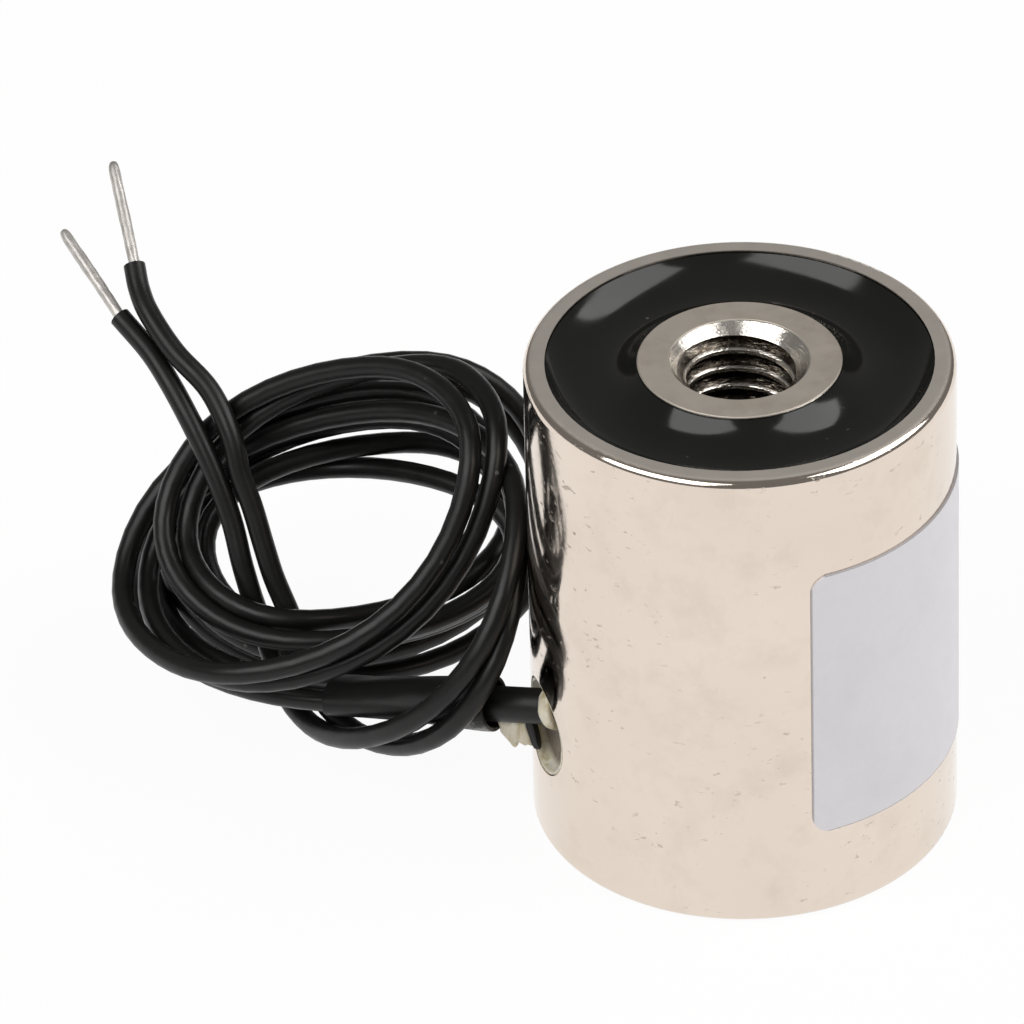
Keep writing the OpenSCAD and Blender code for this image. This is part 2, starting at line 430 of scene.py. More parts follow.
@dataclass(frozen=True)
class Paper:
    """Plain white label stock, slightly grey, with faint handling marks and a painted shadow line along its top,
    bottom and one side edge.
    """

    name: str = "label_paper"
    colour: Colour = (0.70, 0.68, 0.705)
    smudge: Colour = (0.61, 0.595, 0.615)
    # Painted shadow: colour of the thin dark line along the label's edges.
    edge_shadow: Colour = (0.26, 0.25, 0.26)
    pale: Colour = (0.74, 0.72, 0.745)
    ends: Tuple[float, float] = (4.8, 19.3)
    line: Tuple[float, float] = (0.06, 0.02)
    side_x: float = -0.04
    side_line: Tuple[float, float] = (0.08, 0.02)

    def make(self) -> bpy.types.Material:
        """Builds the material.

        Returns:
            The material.
        """
        n = Nodes(self.name)
        marks = n.span(n.noise(140, 5, 0.6), 0.52, 0.75, 0.0, 0.5)
        plain = n.mix(marks, n.mix(n.noise(2500, 4), self.colour, self.pale), self.smudge)
        (low, high), (fade, full), (side_fade, side_full) = self.ends, self.line, self.side_line
        # Painted shadow: a thin dark line along the label's top, bottom and one side edge stands for the shade of
        # its thickness.
        edge = n.math("MAXIMUM", n.between(n.axis("Z"), (low + fade, low + full)),
                      n.between(n.axis("Z"), (high - fade, high - full)))
        edge = n.math("MAXIMUM", edge, n.between(n.axis("X"), (self.side_x + side_fade, self.side_x + side_full)))
        n.feed("Base Color", n.mix(n.math("MULTIPLY", edge, 0.7), plain, self.edge_shadow))
        n.feed("Roughness", n.span(n.noise(900, 4), 0.3, 0.7, 0.36, 0.48))
        n.bump(n.noise(3500, 4, 0.6), 0.006, 0.35, n.bump(n.noise(180, 2), 0.03, 0.25))
        return n.material


@dataclass(frozen=True)
class Glue:
    """Milky hot glue, slightly see-through, with yellow streaks and painted shade, brown, where it lies deeper in
    the hole.
    """

    name: str = "clear_glue"
    colour: Colour = (0.58, 0.52, 0.40)
    milky: Colour = (0.74, 0.69, 0.58)
    streak: Colour = (0.36, 0.30, 0.13)
    # Painted shade: brown for the glue deeper in the hole.
    hole_shade: Colour = (0.20, 0.16, 0.12)
    hole_shade_x: Tuple[float, float] = (-9.5, -9.3)
    streak_grain: Tuple[float, float, float] = (1900.0, 1900.0, 350.0)

    def make(self) -> bpy.types.Material:
        """Builds the material.

        Returns:
            The material.
        """
        n = Nodes(self.name)
        streaks = n.span(n.noise(1, 3, 0.5, n.stretch(self.streak_grain)), 0.5, 0.66)
        cloud = n.mix(n.span(n.noise(800, 4), 0.35, 0.65), self.colour, self.milky)
        # Painted shade: the glue deeper in the hole is painted brown.
        sunk = n.between(n.axis("X"), self.hole_shade_x)
        streaky = n.mix(n.math("MULTIPLY", streaks, 0.7), cloud, self.streak)
        n.feed("Base Color", n.mix(sunk, streaky, self.hole_shade))
        n.feed("Roughness", n.span(n.noise(1300, 3), 0.3, 0.7, 0.2, 0.4))
        n.set(Subsurface_Weight=0.4, Subsurface_Scale=0.0005, Subsurface_Radius=(1.0, 0.75, 0.45))
        n.bump(n.noise(1500, 4, 0.6), 0.1, 0.5)
        return n.material


@dataclass(frozen=True)
class BlackPlastic:
    """Satin black plastic of the leads and sleeving."""

    name: str
    gloss: Tuple[float, float]
    colour: Colour = (0.004, 0.004, 0.004)
    worn: Colour = (0.010, 0.010, 0.009)
    speck: Colour = (0.25, 0.24, 0.23)
    scuff: Colour = (0.30, 0.29, 0.28)
    lump: float = 1400.0
    lump_mm: float = 0.02
    scuff_at: Optional[Tuple[float, float, float]] = None
    scuff_r: Tuple[float, float] = (0.35, 1.0)

    def make(self) -> bpy.types.Material:
        """Builds the material.

        Returns:
            The material.
        """
        n = Nodes(self.name)
        specks = n.math("MULTIPLY", n.specks(900, 0.12), n.span(n.noise(260, 2), 0.56, 0.62))
        plain = n.mix(n.noise(500, 4), self.colour, self.worn)
        colour = n.mix(n.math("MULTIPLY", specks, 0.4), plain, self.speck)
        if self.scuff_at:
            rubbed = n.span(n.noise(2200, 4, 0.7), 0.42, 0.62)
            worn = n.math("MULTIPLY", n.near(self.scuff_at, *self.scuff_r), rubbed)
            colour = n.mix(worn, colour, self.scuff)
        n.feed("Base Color", colour)
        n.feed("Roughness", n.span(n.noise(900, 4), 0.3, 0.7, *self.gloss))
        n.set(Specular_IOR_Level=0.3)
        n.bump(n.noise(self.lump, 3), self.lump_mm, 0.4)
        return n.material


@dataclass(frozen=True)
class Tinned:
    """Tinned copper strands with a dull solder skin."""

    name: str = "tinned_copper"
    colour: Colour = (0.46, 0.435, 0.41)
    bare: Colour = (0.64, 0.61, 0.575)

    def make(self) -> bpy.types.Material:
        """Builds the material.

        Returns:
            The material.
        """
        n = Nodes(self.name)
        n.feed("Base Color", n.mix(n.span(n.noise(1100, 3), 0.35, 0.65), self.colour, self.bare))
        n.feed("Roughness", n.span(n.noise(1500, 4), 0.3, 0.7, 0.40, 0.55))
        n.set(Metallic=0.8)
        n.bump(n.noise(1800, 3), 0.03, 0.4)
        return n.material


@dataclass(frozen=True)
class Hidden:
    """Finish of a piece inside the cup: two mixed tones with a fine grain."""

    name: str
    tones: Tuple[Colour, Colour]
    gloss: Tuple[float, float]
    metallic: float = 0.0
    grain: Tuple[float, float, float] = (1500.0, 1500.0, 1500.0)

    def make(self) -> bpy.types.Material:
        """Builds the material.

        Returns:
            The material.
        """
        n = Nodes(self.name)
        grain = n.noise(1, 3, 0.5, n.stretch(self.grain))
        n.feed("Base Color", n.mix(grain, *self.tones))
        n.feed("Roughness", n.span(grain, 0.3, 0.7, *self.gloss))
        n.set(Metallic=self.metallic)
        n.bump(grain, 0.05, 0.4)
        return n.material


class Finishes:
    """All materials of the part, by the record's slot names."""

    def __init__(self) -> None:
        kinds = [
            Plate(), TurnedSteel(), Resin(), Paper(), Glue(), Tinned(),
            BlackPlastic("lead_insulation", (0.30, 0.42)),
            BlackPlastic("black_sleeving", (0.38, 0.5), lump=700, lump_mm=0.08, scuff_at=(-12.6, 1.5, 5.8)),
            Hidden("former_nylon", ((0.80, 0.77, 0.68), (0.86, 0.83, 0.75)), (0.4, 0.55)),
            Hidden("enamelled_copper", ((0.60, 0.24, 0.09), (0.74, 0.34, 0.14)), (0.22, 0.35), 1.0,
                   (300.0, 300.0, 4000.0)),
            Hidden("yellow_tape", ((0.72, 0.50, 0.07), (0.80, 0.58, 0.12)), (0.25, 0.35)),
        ]
        self.by_slot = {kind.name: kind.make() for kind in kinds}

    def dress(self, piece: bpy.types.Object, slot: str) -> None:
        """Gives a piece the material of one slot.

        Args:
            piece: The object to dress.
            slot: The slot's name in the record.
        """
        piece.data.materials.clear()
        piece.data.materials.append(self.by_slot[slot])

    def dress_cad(self) -> None:
        """Gives every CAD node the material of its slot."""
        for part in frame["record"]["subparts"]:
            self.dress(frame["nodes"][part["node"]], part["material_slot"])


class Bench:
    """Modelling steps that the pieces share; sizes are in mm."""

    @staticmethod
    def clear() -> None:
        """Leaves edit mode and deselects everything."""
        if bpy.context.object and bpy.context.object.mode != "OBJECT":
            bpy.ops.object.mode_set(mode="OBJECT")
        bpy.ops.object.select_all(action="DESELECT")

    @staticmethod
    def select(*pieces: bpy.types.Object) -> None:
        """Selects some pieces alone and makes the last of them active.

        Args:
            pieces: The pieces, in object mode.
        """
        Bench.clear()
        for piece in pieces:
            piece.select_set(True)
        bpy.context.view_layer.objects.active = pieces[-1]

    @staticmethod
    def edit(name: str) -> bpy.types.Object:
        """Names the new primitive, applies its place and opens it, all selected.

        Args:
            name: The piece's name.

        Returns:
            The piece, in edit mode.
        """
        piece = bpy.context.active_object
        piece.name = name
        bpy.ops.object.transform_apply(location=True, rotation=True, scale=True)
        bpy.ops.object.mode_set(mode="EDIT")
        bpy.ops.mesh.select_mode(type="VERT")
        bpy.ops.mesh.select_all(action="SELECT")
        return piece

    @staticmethod
    def ring(name: str, radius: float, z: float, segments: int) -> bpy.types.Object:
        """Starts a piece with one ring round the Z axis.

        Args:
            name: The piece's name.
            radius: The ring's radius.
            z: The ring's height.
            segments: Number of its points.

        Returns:
            The piece, in edit mode.
        """
        Bench.clear()
        bpy.ops.mesh.primitive_circle_add(vertices=segments, radius=radius * MM, location=(0, 0, z * MM))
        return Bench.edit(name)

    @staticmethod
    def step(rise: float, z: float, scale: Tuple[float, float, float], turn: float = 0.0) -> None:
        """Extrudes the selected ring, then resizes and turns it about the Z axis.

        Args:
            rise: How far it is extruded.
            z: Its new height.
            scale: Its new size along each axis, as a factor.
            turn: Its turn, in degrees.
        """
        centre = (0, 0, z * MM)
        bpy.ops.mesh.extrude_region_move(TRANSFORM_OT_translate={"value": (0, 0, rise * MM)})
        bpy.ops.transform.resize(value=scale, center_override=centre)
        if turn:
            bpy.ops.transform.rotate(value=math.radians(turn), orient_axis="Z", center_override=centre)

    @staticmethod
    def pick(piece: bpy.types.Object, test: Callable[[Vector], bool]) -> None:
        """Selects the points whose place passes a test.

        Args:
            piece: The piece, in edit mode.
            test: Takes a place in mm.
        """
        bpy.ops.mesh.select_all(action="DESELECT")
        bpy.ops.object.mode_set(mode="OBJECT")
        for point in piece.data.vertices:
            point.select = test(point.co / MM)
        bpy.ops.object.mode_set(mode="EDIT")

    @staticmethod
    def close() -> None:
        """Merges doubled points, turns the faces outwards and leaves edit mode."""
        bpy.ops.mesh.select_all(action="SELECT")
        bpy.ops.mesh.remove_doubles(threshold=1e-6)
        bpy.ops.mesh.normals_make_consistent(inside=False)
        bpy.ops.object.mode_set(mode="OBJECT")

    @staticmethod
    def lathe(name: str, profile: Profile, segments: int) -> bpy.types.Object:
        """Turns a profile round the Z axis by walking one ring along it.

        Args:
            name: The piece's name.
            profile: Radius and height of each corner.
            segments: Number of points in a ring.

        Returns:
            The piece, in object mode.
        """
        r, z = profile[0]
        piece = Bench.ring(name, r, z, segments)
        for next_r, next_z in profile[1:]:
            Bench.step(next_z - z, next_z, (next_r / r, next_r / r, 1))
            r, z = next_r, next_z
        Bench.close()
        return piece

    @staticmethod
    def modify(piece: bpy.types.Object, kind: str, **settings: object) -> None:
        """Adds one modifier and applies it.

        Args:
            piece: The piece, in object mode.
            kind: The modifier's type.
            settings: Its properties.
        """
        modifier = piece.modifiers.new(kind.lower(), kind)
        for name, value in settings.items():
            setattr(modifier, name, value)
        bpy.context.view_layer.objects.active = piece
        bpy.ops.object.modifier_apply(modifier=modifier.name)

    @staticmethod
    def round_edges(piece: bpy.types.Object, width: float, segments: int) -> None:
        """Bevels the sharp edges of a piece.

        Args:
            piece: The piece, in object mode.
            width: The bevel's width.
            segments: Number of its steps.
        """
        Bench.modify(piece, "BEVEL", width=width * MM, segments=segments, limit_method="ANGLE", angle_limit=SHARP)

    @staticmethod
    def move(piece: bpy.types.Object, origin: Vector, axes: Sequence[Vector]) -> None:
        """Moves a finished piece from the Z axis to its place and applies that.

        Args:
            piece: The piece, in object mode.
            origin: Where its origin goes, in mm.
            axes: Where its X, Y and Z axes point.
        """
        Bench.select(piece)
        piece.matrix_world = Matrix.Translation(origin * MM) @ Matrix(axes).transposed().to_4x4()
        bpy.ops.object.transform_apply(location=True, rotation=True, scale=True)

    @staticmethod
    def shade(piece: bpy.types.Object, style: Shading) -> None:
        """Shades a finished piece.

        Args:
            piece: The piece, in object mode.
            style: How it is shaded.
        """
        Bench.select(piece)
        if style is Shading.SMOOTH:
            bpy.ops.object.shade_smooth()
        else:
            bpy.ops.object.shade_smooth_by_angle(angle=CREASE)


@dataclass
class TappedCore:
    """Turned steel core, flush with the rim, with an M6 thread right through it."""

    height: float = 25.0
    radius: float = 4.75
    edge: float = 0.06
    spigot_r: float = 4.0
    base: float = 3.0
    countersink_r: float = 3.3
    crest_r: float = 2.5
    pitch: float = 1.0
    groove_in: Tuple[float, float] = (2.40, 0.47)
    groove_out: Tuple[float, float] = (3.05, 0.06)
    segments: int = 96
    thread_steps: int = 48

    def profile(self) -> Profile:
        """Gives the core's closed outline.

        Returns:
            Radius and height of each corner.
        """
        sink = self.countersink_r - self.crest_r
        return [
            (self.countersink_r, 0), (self.spigot_r, 0), (self.spigot_r, self.base), (self.radius, self.base),
            (self.radius, self.height - self.edge), (self.radius - self.edge, self.height),
            (self.countersink_r, self.height), (self.crest_r, self.height - sink), (self.crest_r, sink),
            (self.countersink_r, 0),
        ]

    def tap(self) -> bpy.types.Object:
        """Makes the thread's groove as a solid that is cut from the core.

        Returns:
            The cutter.
        """
        (r_in, half_in), (r_out, half_out) = self.groove_in, self.groove_out
        size, middle, start = r_out - r_in, (r_in + r_out) / 2, -self.pitch
        Bench.clear()
        bpy.ops.mesh.primitive_plane_add(size=size * MM, location=(middle * MM, 0, start * MM),
                                         rotation=(math.pi / 2, 0, 0))
        cutter = Bench.edit("tap")
        bpy.ops.mesh.delete(type="ONLY_FACE")
        for half, inside in ((half_in, True), (half_out, False)):
            Bench.pick(cutter, lambda p: (p.x < middle) == inside)
            bpy.ops.transform.resize(value=(1, 1, 2 * half / size), center_override=(0, 0, start * MM))
        bpy.ops.object.mode_set(mode="OBJECT")
        Bench.modify(cutter, "SCREW", screw_offset=self.pitch * MM, steps=self.thread_steps,
                     render_steps=self.thread_steps, iterations=int(self.height / self.pitch) + 2)
        bpy.ops.object.mode_set(mode="EDIT")
        bpy.ops.mesh.select_all(action="SELECT")
        bpy.ops.mesh.fill_holes(sides=4)
        Bench.close()
        return cutter

    def build(self) -> bpy.types.Object:
        """Turns the core and cuts its thread.

        Returns:
            The piece.
        """
        piece = Bench.lathe("tapped_core", self.profile(), self.segments)
        cutter = self.tap()
        Bench.modify(piece, "BOOLEAN", operation="DIFFERENCE", object=cutter, solver="EXACT")
        bpy.data.objects.remove(cutter)
        Bench.shade(piece, Shading.BY_ANGLE)
        return piece


@dataclass
class ResinRing:
    """Cast resin between the core and the cup, with a sunk surface that climbs both walls."""

    r_in: float = 4.77
    r_out: float = 8.97
    foot: float = 21.8
    brim: float = 24.86
    sag: float = 1.1
    climb: float = 2.4
    steps: int = 48
    segments: int = 144

    def build(self) -> bpy.types.Object:
        """Turns the ring.

        Returns:
            The piece.
        """
        profile = [(self.r_in, self.foot)]
        for i in range(self.steps + 1):
            s = i / self.steps
            profile.append((self.r_in + s * (self.r_out - self.r_in),
                            self.brim - self.sag * (1 - abs(2 * s - 1) ** self.climb)))
        piece = Bench.lathe("resin_ring", profile + [(self.r_out, self.foot), profile[0]], self.segments)
        Bench.shade(piece, Shading.BY_ANGLE)
        return piece


@dataclass(frozen=True)
class LeadLine:
    """The straight line on which the leads leave the cup, as in the part's source."""

    start: Tuple[float, float, float] = (-10.0, 0.4, 7.4)
    swing: float = 43.0
    droop: float = 13.0
    run_start: float = 6.6
    run_end: float = 11.1
    lead_off: float = 0.55

    def along(self) -> Vector:
        """Gives the direction of the line.

        Returns:
            A unit vector.
        """
        s, d = math.radians(self.swing), math.radians(self.droop)
        return Vector((-math.cos(s) * math.cos(d), math.sin(s) * math.cos(d), -math.sin(d)))

    def side(self) -> Vector:
        """Gives the level direction across the line, towards the camera.

        Returns:
            A unit vector.
        """
        s = math.radians(self.swing)
        return Vector((-math.sin(s), -math.cos(s), 0))

    def axes(self) -> Tuple[Vector, Vector, Vector]:
        """Gives the directions across, above and along the line.

        Returns:
            Three unit vectors.
        """
        return self.side(), self.along().cross(self.side()), self.along()

    def at(self, s: float, off: float = 0.0) -> Vector:
        """Gives a point on or beside the line.

        Args:
            s: Distance from the cup's surface.
            off: Distance across the line.

        Returns:
            The point, in mm.
        """
        return Vector(self.start) + self.along() * s + self.side() * off


@dataclass
class ShrunkSleeve:
    """Sleeve that is round over the inlet tube and shrunk flat over the two leads."""

    rings: Sequence[Tuple[float, float, float]] = (
        (2.3, 1.35, 1.35), (2.45, 1.35, 1.35), (3.0, 1.35, 1.33), (3.8, 1.36, 1.26), (4.8, 1.33, 1.17),
        (5.8, 1.34, 1.05), (6.8, 1.31, 0.97), (7.8, 1.32, 0.91), (8.8, 1.30, 0.88), (9.8, 1.31, 0.86),
        (10.85, 1.30, 0.85), (11.0, 1.30, 0.85),
    )
    wall: float = 0.2
    crease: float = 0.05
    crease_seed: int = 7
    plain_end: float = 0.3
    edge: float = 0.03
    segments: int = 20

    def build(self, line: LeadLine) -> bpy.types.Object:
        """Walks an oval ring along the line and gives it a wall.

        Args:
            line: The leads' line.

        Returns:
            The piece.
        """
        s, across, above = self.rings[0]
        first, last = s, self.rings[-1][0]
        piece = Bench.ring("shrunk_sleeve", 1.0, s, self.segments)
        bpy.ops.transform.resize(value=(across, above, 1), center_override=(0, 0, s * MM))
        for next_s, next_across, next_above in self.rings[1:]:
            Bench.step(next_s - s, next_s, (next_across / across, next_above / above, 1))
            s, across, above = next_s, next_across, next_above
        Bench.pick(piece, lambda p: first + self.plain_end < p.z < last - self.plain_end)
        bpy.ops.transform.vertex_random(offset=self.crease * MM, uniform=0.0, normal=1.0, seed=self.crease_seed)
        Bench.close()
        Bench.modify(piece, "SOLIDIFY", thickness=self.wall * MM, offset=-1.0)
        Bench.round_edges(piece, self.edge, 1)
        Bench.modify(piece, "SUBSURF", levels=2, render_levels=2)
        Bench.move(piece, line.at(0), line.axes())
        Bench.shade(piece, Shading.SMOOTH)
        return piece


@dataclass
class EntryTube:
    """Black tube through the cup's wall, with a torn lip under its root."""

    outer_r: float = 0.85
    inner_r: float = 0.65
    start: float = -1.2
    end: float = 2.8
    lip_at: float = 0.6
    lip_size: Tuple[float, float, float] = (0.55, 1.7, 0.42)
    lip_taper: Tuple[float, float, float] = (0.6, 1.0, 0.75)
    lip_sunk: float = 0.15
    lip_rough: float = 0.05
    lip_seed: int = 4
    edge: float = 0.04
    segments: int = 32

    def lip(self) -> bpy.types.Object:
        """Makes the lip, hanging under the Z axis.

        Returns:
            The bit, in object mode.
        """
        thick, drop, wide = self.lip_size
        middle = -self.outer_r - drop / 2 + self.lip_sunk
        centre = (0, middle * MM, self.lip_at * MM)
        Bench.clear()
        bpy.ops.mesh.primitive_cube_add(size=MM, location=centre)
        bit = Bench.edit("tube_lip")
        bpy.ops.transform.resize(value=(thick, drop, wide), center_override=centre)
        bpy.ops.mesh.subdivide(number_cuts=2)
        Bench.pick(bit, lambda p: p.y < middle - drop / 3)
        bpy.ops.transform.resize(value=self.lip_taper, center_override=centre)
        bpy.ops.mesh.select_all(action="SELECT")
        bpy.ops.transform.vertex_random(offset=self.lip_rough * MM, uniform=1.0, normal=0.0, seed=self.lip_seed)
        Bench.close()
        Bench.modify(bit, "SUBSURF", levels=2, render_levels=2)
        return bit

    def build(self, line: LeadLine) -> bpy.types.Object:
        """Turns the tube, adds its lip and moves both to the leads' line.

        Args:
            line: The leads' line.

        Returns:
            The piece.
        """
        profile = [(self.inner_r, self.start), (self.outer_r, self.start), (self.outer_r, self.end),
                   (self.inner_r, self.end), (self.inner_r, self.start)]
        piece = Bench.lathe("entry_tube", profile, self.segments)
        Bench.round_edges(piece, self.edge, 2)
        Bench.select(self.lip(), piece)
        bpy.ops.object.join()
        Bench.move(piece, line.at(0), line.axes())
        Bench.shade(piece, Shading.BY_ANGLE)
        return piece


@dataclass
class TinnedEnd:
    """Twisted and tinned strands beyond a lead's cut insulation."""

    radius: float = 0.30
    length: float = 5.6
    sunk: float = 0.1
    lobes: int = 7
    groove: float = 0.88
    twist: float = 9.0
    steps: int = 22
    tip: Sequence[float] = (0.92, 0.66)
    rough: float = 0.02
    rough_seed: int = 3

    def build(self, name: str, root: Vector, along: Vector) -> bpy.types.Object:
        """Walks a lobed ring along the strands, turning it at each step.

        Args:
            name: The piece's name.
            root: Where the insulation ends, in mm.
            along: The strands' direction.

        Returns:
            The piece.
        """
        piece = Bench.ring(name, self.radius, 0, 2 * self.lobes)
        Bench.pick(piece, lambda p: round(math.degrees(math.atan2(p.y, p.x)) * self.lobes / 180) % 2 == 1)
        bpy.ops.transform.resize(value=(self.groove, self.groove, 1), center_override=(0, 0, 0))
        bpy.ops.mesh.select_all(action="SELECT")
        rise = self.length / self.steps
        for k in range(1, self.steps + 1):
            size = self.tip[k - self.steps - 1] if k > self.steps - len(self.tip) else 1.0
            Bench.step(rise, k * rise, (size, size, 1), self.twist)
        bpy.ops.mesh.edge_face_add()
        Bench.pick(piece, lambda p: p.z > rise / 2)
        bpy.ops.transform.vertex_random(offset=self.rough * MM, uniform=0.0, normal=1.0, seed=self.rough_seed)
        Bench.close()
        Bench.modify(piece, "SUBSURF", levels=2, render_levels=2)
        across = along.cross(Vector((0, 0, 1))).normalized()
        Bench.move(piece, root - along * self.sunk, (across, along.cross(across), along))
        Bench.shade(piece, Shading.SMOOTH)
        return piece


@dataclass
class GlueSeal:
    """Glue in the lead hole: a sunk plug, a collar round the tube and a torn flap under it."""

    hole_z: float = 6.5
    cup_r: float = 9.97
    plug: Profile = (
        (0.3, 8.5), (2.37, 8.5), (2.37, 10.4), (2.35, 10.4), (2.22, 9.7), (1.95, 9.25), (1.3, 9.1), (0.3, 9.05),
    )
    collar: Profile = ((0.87, -1.2), (1.15, -1.2), (1.12, -0.8), (1.0, -0.55), (0.87, -0.4))
    flap_from: float = 0.8
    flap_to: float = 2.35
    flap_top: float = 0.75
    fringe: Sequence[float] = (1.55, 1.4, 1.5, 1.25, 1.35, 1.75, 1.2, 0.95, 0.6)
    flap_thick: float = 0.5
    flap_rough: float = 0.06
    flap_seed: int = 2
    column_reach: float = 0.05
    rough: float = 0.05
    rough_seed: int = 11
    plug_segments: int = 40
    collar_segments: int = 24
    cup_segments: int = 128

    def capped(self, name: str, profile: Profile, segments: int) -> bpy.types.Object:
        """Turns a bit of glue and roughens it.

        Args:
            name: The bit's name.
            profile: Radius and height of each corner.
            segments: Number of points in a ring.

        Returns:
            The bit, in object mode.
        """
        bit = Bench.lathe(name, profile, segments)
        bpy.ops.object.mode_set(mode="EDIT")
        bpy.ops.mesh.select_all(action="SELECT")
        bpy.ops.mesh.fill_holes(sides=segments)
        bpy.ops.transform.vertex_random(offset=self.rough * MM, uniform=0.0, normal=1.0, seed=self.rough_seed)
        Bench.close()
        Bench.modify(bit, "SUBSURF", levels=1, render_levels=1)
        return bit

    def flap(self) -> bpy.types.Object:
        """Makes the torn flap, hanging from the X axis along Y.

        Returns:
            The bit, in object mode.
        """
        columns = len(self.fringe)
        long = self.flap_to - self.flap_from
        Bench.clear()
        bpy.ops.mesh.primitive_grid_add(x_subdivisions=columns - 1, y_subdivisions=4, size=long * MM,
                                        location=((self.flap_from + long / 2) * MM, -long / 2 * MM, 0))
        bit = Bench.edit("glue_flap")
        for i, reach in enumerate(self.fringe):
            x = self.flap_from + long * i / (columns - 1)
            Bench.pick(bit, lambda p: abs(p.x - x) < self.column_reach)
            bpy.ops.transform.resize(value=(1, reach / long, 1), center_override=(0, 0, 0))
        bpy.ops.mesh.select_all(action="SELECT")
        bpy.ops.transform.vertex_random(offset=self.flap_rough * MM, uniform=1.0, normal=0.0, seed=self.flap_seed)
        Bench.close()
        Bench.modify(bit, "SOLIDIFY", thickness=self.flap_thick * MM, offset=0.0)
        Bench.modify(bit, "SUBSURF", levels=2, render_levels=2)
        return bit

    def build(self, line: LeadLine) -> bpy.types.Object:
        """Makes the three bits in their places and joins them.

        Args:
            line: The leads' line.

        Returns:
            The piece.
        """
        plug = self.capped("glue_seal", self.plug, self.plug_segments)
        Bench.move(plug, Vector((0, 0, self.hole_z)), (Vector((0, 0, 1)), Vector((0, 1, 0)), Vector((-1, 0, 0))))
        Bench.clear()
        bpy.ops.mesh.primitive_cylinder_add(vertices=self.cup_segments, radius=self.cup_r * MM,
                                            depth=2 * self.hole_z * MM, location=(0, 0, self.hole_z * MM))
        cup = bpy.context.active_object
        Bench.modify(plug, "BOOLEAN", operation="INTERSECT", object=cup, solver="EXACT")
        bpy.data.objects.remove(cup)
        side, above, along = line.axes()
        collar = self.capped("glue_collar", self.collar, self.collar_segments)
        Bench.move(collar, line.at(0), (side, above, along))
        flap = self.flap()
        Bench.move(flap, line.at(0) - above * self.flap_top, (along, above, along.cross(above)))
        Bench.select(collar, flap, plug)
        bpy.ops.object.join()
        Bench.shade(plug, Shading.SMOOTH)
        return plug


@dataclass(frozen=True)
class Spot:
    """A place in the picture's axes from the coil's centre, in mm.

    half is the nearness half way to the next spot; without it the depth runs evenly.
    """

    right: float
    up: float
    near: float
    half: Optional[float] = None


@dataclass(frozen=True)
class Turn:
    """One turn of a lead, by its four outermost places in the picture."""

    left: Spot
    top: Spot
    right: Spot
    bottom: Spot


@dataclass(frozen=True)
class CoilFace:
    """The picture's axes, set at the middle of the coil."""

    view: Viewpoint
    centre: Tuple[float, float, float] = (-14.81, 11.93, 10.06)

    def place(self, right: float, up: float, near: float) -> Vector:
        """Turns a place in the picture's axes into the part's frame.

        Args:
            right: Distance to the right.
            up: Distance up.
            near: Distance towards the camera.

        Returns:
            The point, in mm.
        """
        x, y, z = self.view.axes()
        return Vector(self.centre) + x * right + y * up + z * near

    def read(self, point: Vector) -> Spot:
        """Turns a point of the part's frame into the picture's axes.

        Args:
            point: The point, in mm.

        Returns:
            Its spot.
        """
        away = point - Vector(self.centre)
        return Spot(*(away.dot(axis) for axis in self.view.axes()))


